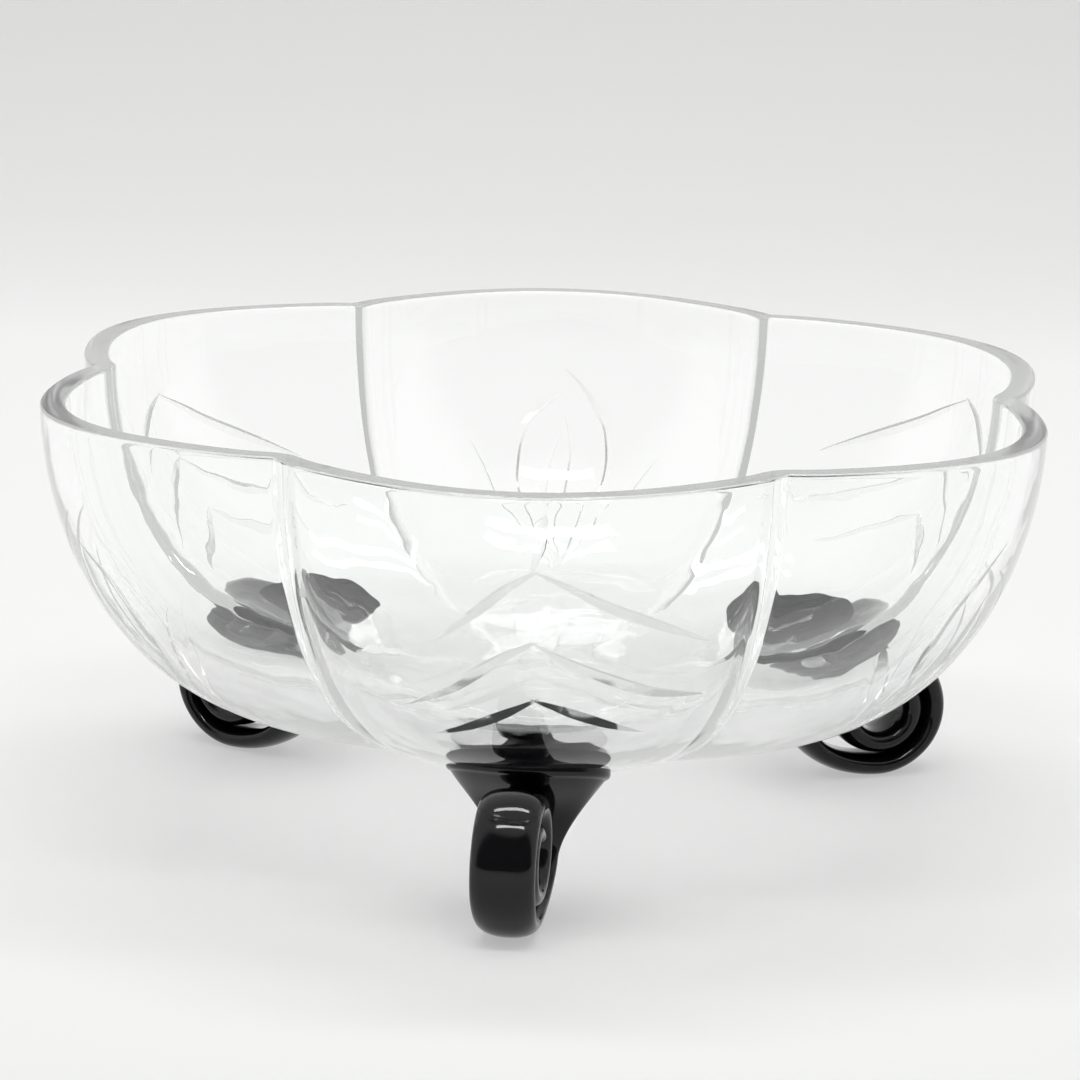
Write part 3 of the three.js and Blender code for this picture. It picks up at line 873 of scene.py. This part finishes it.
def strap_tree(bowl, material, seat_material):
    """Lofts a rounded strap through the stations of a path, bends its pad to the bowl's underside and
    cuts the bowl out of it."""
    inputs = [("Sides", "NodeSocketInt"), ("Seat Sink", "NodeSocketFloat"), ("Lobe", "NodeSocketVector")]
    inputs += [(label, "NodeSocketFloat") for label in ("Pad Radius", "Pad Height", "Pad Rise")]
    tree = new_tree("Scrolled foot", inputs)
    given = tree.nodes.new("NodeGroupInput")
    path = given.outputs["Geometry"]
    sides = Term(tree, given.outputs["Sides"])
    size = add_node(tree, "GeometryNodeAttributeDomainSize", {"Geometry": path}, component="MESH")
    grid, stop, side = closed_grid(tree, size.outputs["Point Count"], sides)
    angle = side / sides * (2 * math.pi)
    half_width, crown, back, crown_squareness, back_squareness, follow = (
        Term(tree, sampled(tree, path, label, "FLOAT", stop)) for label in Station._fields[2:])
    cosine, sine = angle.math("COSINE"), angle.math("SINE")
    above = sine.math("GREATER_THAN", 0.0)
    squareness = crown_squareness * above + back_squareness * above.from_one()
    power = squareness ** -1.0 * 2.0
    across = half_width * cosine.math("SIGN") * cosine.math("ABSOLUTE") ** power
    rise = sine.math("SIGN") * sine.math("ABSOLUTE") ** power
    rise = rise * (crown * above + back * above.from_one())
    place, away, beside = (
        sampled(tree, path, label, "FLOAT_VECTOR", stop) for label in ("position", "away", "beside"))
    flat = summed(tree, place, scaled(tree, away, rise), scaled(tree, beside, across))
    vessel = add_node(tree, "GeometryNodeObjectInfo", {"Object": bowl}).outputs["Geometry"]
    x, y, _ = separated(tree, flat)
    ray = add_node(
        tree, "GeometryNodeRaycast",
        {"Target Geometry": vessel, "Source Position": combined(tree, x, y, -1.0), "Ray Direction": (0, 0, 1),
         "Ray Length": 2.0})
    underside = separated(tree, ray.outputs["Hit Position"])[2]
    reach = add_node(tree, "ShaderNodeVectorMath", {0: flat, 1: given.outputs["Lobe"]}, operation="DOT_PRODUCT")
    beyond = Term(tree, reach.outputs["Value"]) - Term(tree, given.outputs["Pad Radius"])
    plane = Term(tree, given.outputs["Pad Height"]) + Term(tree, given.outputs["Pad Rise"]) * beyond
    bent = summed(tree, flat, combined(tree, z=(underside - plane) * follow))
    lifted = made(
        tree, "GeometryNodeTransform",
        {"Geometry": mark(tree, vessel, "seat"), "Translation": combined(tree, z=given.outputs["Seat Sink"])})
    seated = cut_out(tree, shaped(tree, grid, bent, 2e-6), lifted)
    x, y, z = separated(tree, named(tree, "position"))
    stood = combined(tree, x, y, z.math("MAXIMUM", 0.0))
    standing = made(tree, "GeometryNodeSetPosition", {"Geometry": seated, "Position": stood})
    finish_tree(tree, standing, material, 40.0, [("seat", seat_material)])
    return tree


def make_foot(name, azimuth, sizes, feet, tree):
    seat, along, up = pad_frame(sizes, feet)
    full_height = seat.y - feet.pad_edge * up.y
    stations = scroll_stations(feet) + trail_stations(feet, full_height)
    stations += neck_stations(feet, seat, along, up, full_height) + pad_stations(feet, seat, up)
    turn = Matrix.Rotation(math.radians(azimuth), 3, "Z")
    twist = Matrix.Rotation(feet.scroll_turn, 3, "Z")
    pivot = Vector((feet.pad_radius, 0, 0))

    def pointed(flat):
        return tuple(turn @ (twist @ Vector((flat.x, 0, flat.y))))

    def placed(flat):
        return tuple(turn @ (twist @ (Vector((flat.x, 0, flat.y)) - pivot) + pivot))

    beside = tuple(turn @ (twist @ Vector((0, 1, 0))))
    foot = new_object(
        name, [placed(stop.place) for stop in stations],
        vectors={
            "away": [pointed(stop.along.orthogonal().normalized()) for stop in stations],
            "beside": [beside] * len(stations)},
        numbers={label: [getattr(stop, label) for stop in stations] for label in Station._fields[2:]})
    baked(foot, tree, {
        "Sides": feet.sides, "Seat Sink": feet.seat_sink, "Lobe": turn @ Vector((1, 0, 0)),
        "Pad Radius": seat.x, "Pad Height": seat.y, "Pad Rise": along.y / along.x})
    foot.data.attributes.remove(foot.data.attributes["seat"])
    return foot


# Operators


class BOWL_OT_add_bowl(bpy.types.Operator):
    """Makes the lobed bowl of clear glass"""

    bl_idname = "footed_bowl.add_bowl"
    bl_label = "Add bowl"

    def execute(self, context):
        scene = context.scene
        skin = waviness_group()
        clear = glass_material("bowl_glass", scene.looks.clear_glass, 0.0, skin)
        soften_rim(clear.node_tree, scene.bowl_sizes.rim_height)
        make_bowl_blank(scene.bowl_sizes, clear)
        return {"FINISHED"}


class BOWL_OT_add_feet(bpy.types.Operator):
    """Makes the scrolled feet of black glass, seated on the bowl's underside"""

    bl_idname = "footed_bowl.add_feet"
    bl_label = "Add feet"

    def execute(self, context):
        scene = context.scene
        material = black_glass_material(scene.looks, bpy.data.node_groups["Hand-worked skin"])
        tree = strap_tree(bpy.data.objects["cut_bowl"], material, seat_material(scene.looks))
        for node, azimuth in FOOT_AZIMUTHS.items():
            foot = make_foot("scrolled_" + node, azimuth, scene.bowl_sizes, scene.foot_sizes, tree)
            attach(foot, "root")
            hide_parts(node)
        return {"FINISHED"}


class BOWL_OT_cut_leaves(bpy.types.Operator):
    """Cuts the chevrons, buds and side leaves into the bowl's outside"""

    bl_idname = "footed_bowl.cut_leaves"
    bl_label = "Cut leaves"

    def execute(self, context):
        scene = context.scene
        skin = bpy.data.node_groups["Hand-worked skin"]
        cut_glasses = {
            "dull": glass_material("dull_cut_glass", scene.looks.cut_glass, 0.1, skin),
            "clear": glass_material("clear_cut_glass", scene.looks.clear_glass, 0.1, skin)}
        bowl = bpy.data.objects["cut_bowl"]
        cut_strokes(bowl, scene.bowl_sizes, scene.cut_sizes, cut_glasses)
        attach(bowl, "root")
        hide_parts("bowl")
        return {"FINISHED"}


# Tone of the sweep in its own glow, by the run along it from under the bowl, in metres
SWEEP_TONES = (
    (-0.6, 0.1), (-0.3, 0.73), (-0.02, 0.86), (0.38, 0.97), (0.54, 0.99), (0.74, 0.835), (0.95, 0.73))


def sweep_material(looks):
    """Paper that seen straight, mirrored or through glass mostly glows, so that only soft shadows stay."""
    material, tree, shader = principled("sweep_paper", {
        "Base Color": (*looks.paper, 1), "Roughness": 1.0, "Specular IOR Level": 0.0})
    named_run = add_node(tree, "ShaderNodeAttribute", attribute_name="run").outputs["Fac"]
    first, last = SWEEP_TONES[0][0], SWEEP_TONES[-1][0]
    run = (Term(tree, named_run) - first) / (last - first)
    stops = [((place - first) / (last - first), (tone, tone, tone)) for place, tone in SWEEP_TONES]
    path = tree.nodes.new("ShaderNodeLightPath").outputs
    through = Term(tree, path["Transmission Depth"]).math("GREATER_THAN", 0.5)
    tone = Term(tree, toned(tree, run, stops)).math("MAXIMUM", through * 0.5)
    glow = add_node(tree, "ShaderNodeEmission", {"Color": tone})
    seen = Term(tree, path["Is Camera Ray"])
    for kind in ("Is Glossy Ray", "Is Transmission Ray"):
        seen = seen.math("MAXIMUM", Term(tree, path[kind]))
    mix = add_node(
        tree, "ShaderNodeMixShader", {0: seen * looks.glow, 1: shader.outputs[0], 2: glow.outputs[0]})
    tree.links.new(mix.outputs[0], tree.nodes["Material Output"].inputs["Surface"])
    return material


def add_sweep(looks):
    """Floor that curves up into the backdrop."""
    bend_start, bend_radius, half_width, top = 0.62, 0.55, 3.0, 3.0
    profile = [(-top, 0.0), (-1.0, 0.0), (0.0, 0.0), (bend_start, 0.0)]
    for i in range(1, 33):
        angle = math.pi / 2 * i / 32
        profile.append((bend_start + bend_radius * math.sin(angle), bend_radius * (1 - math.cos(angle))))
    profile.append((bend_start + bend_radius, top))
    runs = [-top]
    for before, after in zip(profile, profile[1:]):
        runs.append(runs[-1] + math.dist(before, after))
    points = [(side * half_width, y, z) for y, z in profile for side in (-1, 1)]
    faces = [(2 * i, 2 * i + 1, 2 * i + 3, 2 * i + 2) for i in range(len(profile) - 1)]
    mesh = bpy.data.meshes.new("sweep")
    mesh.from_pydata(points, [], faces)
    mesh.shade_smooth()
    layer = mesh.attributes.new("run", "FLOAT", "POINT")
    layer.data.foreach_set("value", [run for run in runs for _ in (-1, 1)])
    mesh.materials.append(sweep_material(looks))
    sweep = linked("sweep", mesh)


def add_softbox(name, place, target, size, strength):
    """Square-cornered lamp that faces the target; strength is its brightness, where 1 is white."""
    lamp = bpy.data.lights.new(name, "AREA")
    lamp.shape = "RECTANGLE"
    lamp.size, lamp.size_y = size
    lamp.energy = strength * math.pi * size[0] * size[1]
    obj = linked(name, lamp)
    obj.location = place
    obj.rotation_euler = (Vector(target) - Vector(place)).to_track_quat("-Z", "Y").to_euler()


def add_world():
    """White tent all round, with the dim room in its opening behind the camera; seen through glass the
    opening is paler, as the wavy skin mixes it with the tent."""
    world = bpy.data.worlds.new("studio")
    world.use_nodes = True
    tree = world.node_tree
    background = tree.nodes["Background"]
    _, y, z = separated(tree, tree.nodes.new("ShaderNodeTexCoord").outputs["Generated"])
    front = ranged(tree, y, -0.2, -0.5, interpolation="SMOOTHSTEP")
    low = ranged(tree, z, 0.88, 0.76, interpolation="SMOOTHSTEP")
    opening = Term(tree, front) * Term(tree, low)
    path = tree.nodes.new("ShaderNodeLightPath").outputs
    straight = Term(tree, path["Transmission Depth"]).math("LESS_THAN", 0.5)
    tone = opening * (straight * -0.38 + -0.4) + 0.87
    tree.links.new(tone.socket, background.inputs["Color"])
    background.inputs["Strength"].default_value = 1.0
    bpy.context.scene.world = world


def add_camera():
    """Camera at the photograph's place: looking down at the bowl from in front."""
    yaw, pitch, roll = (math.radians(a) for a in (-2.646, -13.495, 1.337))
    ahead = Vector((math.sin(yaw) * math.cos(pitch), math.cos(yaw) * math.cos(pitch), math.sin(pitch)))
    level = Vector((math.cos(yaw), -math.sin(yaw), 0))
    above = level.cross(ahead)
    right = level * math.cos(roll) + above * math.sin(roll)
    up = above * math.cos(roll) - level * math.sin(roll)
    data = bpy.data.cameras.new("camera")
    data.sensor_width = 36
    data.lens = 142.44
    data.clip_end = 50
    camera = linked("camera", data)
    camera.matrix_world = Matrix((right, up, -ahead)).transposed().to_4x4()
    camera.location = (0.04049, -0.91410, 0.28160)
    bpy.context.scene.camera = camera


class BOWL_OT_add_studio(bpy.types.Operator):
    """Makes the pale sweep, the lamps and the camera"""

    bl_idname = "footed_bowl.add_studio"
    bl_label = "Add studio"

    def execute(self, context):
        add_camera()
        add_sweep(context.scene.looks)
        add_world()
        add_softbox("overhead", (0, 0.25, 1.2), (0, 0, 0), (1.0, 0.13), 14.0)
        add_softbox("front_strip", (0, -0.42, 1.06), (0, 0, 0), (0.8, 0.085), 18.0)
        context.scene.view_settings.view_transform = "Standard"
        return {"FINISHED"}


class BOWL_PT_panel(bpy.types.Panel):
    """Lists the steps that make the bowl"""

    bl_label = "Footed bowl"
    bl_idname = "BOWL_PT_panel"
    bl_space_type = "VIEW_3D"
    bl_region_type = "UI"
    bl_category = "Bowl"

    def draw(self, context):
        column = self.layout.column()
        for step in STEPS:
            column.operator(step.bl_idname)


STEPS = (BOWL_OT_add_bowl, BOWL_OT_add_feet, BOWL_OT_cut_leaves, BOWL_OT_add_studio)
GROUPS = {"bowl_sizes": BowlSizes, "cut_sizes": CutSizes, "foot_sizes": FootSizes, "looks": Looks}


def register():
    for group in GROUPS.values():
        bpy.utils.register_class(group)
    for name, group in GROUPS.items():
        setattr(bpy.types.Scene, name, PointerProperty(type=group))
    for step in (*STEPS, BOWL_PT_panel):
        bpy.utils.register_class(step)


def unregister():
    for step in (*STEPS, BOWL_PT_panel):
        bpy.utils.unregister_class(step)
    for name in GROUPS:
        delattr(bpy.types.Scene, name)
    for group in GROUPS.values():
        bpy.utils.unregister_class(group)


def main():
    register()
    for step in STEPS:
        family, name = step.bl_idname.split(".")
        getattr(getattr(bpy.ops, family), name)()


if __name__ == "__main__":
    main()
